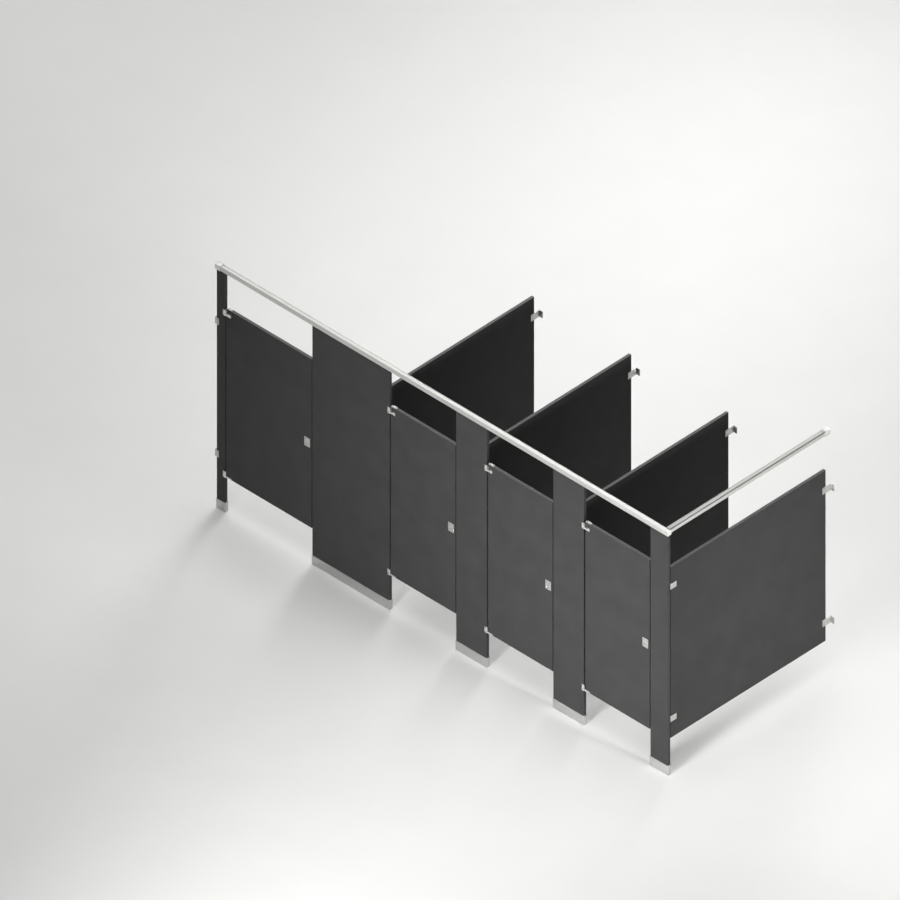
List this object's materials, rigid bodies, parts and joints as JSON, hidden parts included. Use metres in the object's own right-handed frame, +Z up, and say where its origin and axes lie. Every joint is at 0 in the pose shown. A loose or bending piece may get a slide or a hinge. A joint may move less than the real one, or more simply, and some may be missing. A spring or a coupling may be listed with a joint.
{
  "type": "bathroom stall partition",
  "caption": "Toilet cubicle partition of solid plastic sheet: pilasters in steel shoes, hinged doors with slide latches, dividers on angle brackets, and a braced aluminium headrail.",
  "frame": {"origin": "middle of the underside of the run, on the ground", "axes": "+X along the front from the wide cubicle to the end panel, +Y from the front faces into the cubicles, +Z up"},
  "size_m": [4.35, 1.6066, 2.1018],
  "materials": {
    "sheet": "charcoal high-density plastic with a fine matte texture",
    "headrail": "satin clear anodised",
    "steel": "satin stainless",
    "nylon": "black nylon"
  },
  "bodies": {
    "frame": {"pilaster_1": "sheet", "pilaster_2": "sheet", "pilaster_3": "sheet", "pilaster_4": "sheet", "pilaster_5": "sheet", "shoe_1": "steel", "shoe_2": "steel", "shoe_3": "steel", "shoe_4": "steel", "shoe_5": "steel", "divider_1": "sheet", "divider_2": "sheet", "divider_3": "sheet", "end_panel": "sheet", "headrail_front": "headrail", "headrail_return": "headrail", "headrail_end_cap": "headrail", "headrail_sockets": "headrail", "headrail_corner_bracket": "steel", "side_angle_brackets": "steel", "rear_angle_brackets": "steel", "channel_brackets": "steel", "foot_bars": "steel", "levelling_studs": "steel", "levelling_nuts": "steel", "upper_hinge_brackets": "steel", "lower_hinge_brackets": "steel", "lower_hinge_pins": "steel", "lower_hinge_cams": "nylon", "keepers": "steel", "pan_head_screws": "steel", "through_bolts": "steel"},
    "door_1": {"door_1": "sheet", "hinge_cap_1": "steel", "hinge_insert_1": "nylon", "latch_case_1": "steel", "latch_plate_1": "steel", "door_screws_1": "steel"},
    "latch_1": {"latch_bolt_1": "steel"},
    "door_2": {"door_2": "sheet", "hinge_cap_2": "steel", "hinge_insert_2": "nylon", "latch_case_2": "steel", "latch_plate_2": "steel", "door_screws_2": "steel"},
    "latch_2": {"latch_bolt_2": "steel"},
    "door_3": {"door_3": "sheet", "hinge_cap_3": "steel", "hinge_insert_3": "nylon", "latch_case_3": "steel", "latch_plate_3": "steel", "door_screws_3": "steel"},
    "latch_3": {"latch_bolt_3": "steel"},
    "door_4": {"door_4": "sheet", "hinge_cap_4": "steel", "hinge_insert_4": "nylon", "latch_case_4": "steel", "latch_plate_4": "steel", "door_screws_4": "steel"},
    "latch_4": {"latch_bolt_4": "steel"}
  },
  "joints": [
    {"name": "door_1_hinge", "type": "hinge", "parent": "frame", "child": "door_1", "pos_m": [-2.0416, -0.78405, 1.0334], "axis": [0, 0, 1], "range_deg": [-90, 0]},
    {"name": "latch_1_slide", "type": "slide", "parent": "door_1", "child": "latch_1", "axis": [1, 0, 0], "range_m": [0, 0.024]},
    {"name": "door_2_hinge", "type": "hinge", "parent": "frame", "child": "door_2", "pos_m": [-0.4723, -0.78405, 1.0334], "axis": [0, 0, 1], "range_deg": [0, 90]},
    {"name": "latch_2_slide", "type": "slide", "parent": "door_2", "child": "latch_2", "axis": [1, 0, 0], "range_m": [0, 0.024]},
    {"name": "door_3_hinge", "type": "hinge", "parent": "frame", "child": "door_3", "pos_m": [0.4548, -0.78405, 1.0334], "axis": [0, 0, 1], "range_deg": [0, 90]},
    {"name": "latch_3_slide", "type": "slide", "parent": "door_3", "child": "latch_3", "axis": [1, 0, 0], "range_m": [0, 0.024]},
    {"name": "door_4_hinge", "type": "hinge", "parent": "frame", "child": "door_4", "pos_m": [1.3819, -0.78405, 1.0334], "axis": [0, 0, 1], "range_deg": [0, 90]},
    {"name": "latch_4_slide", "type": "slide", "parent": "door_4", "child": "latch_4", "axis": [1, 0, 0], "range_m": [0, 0.024]}
  ]
}
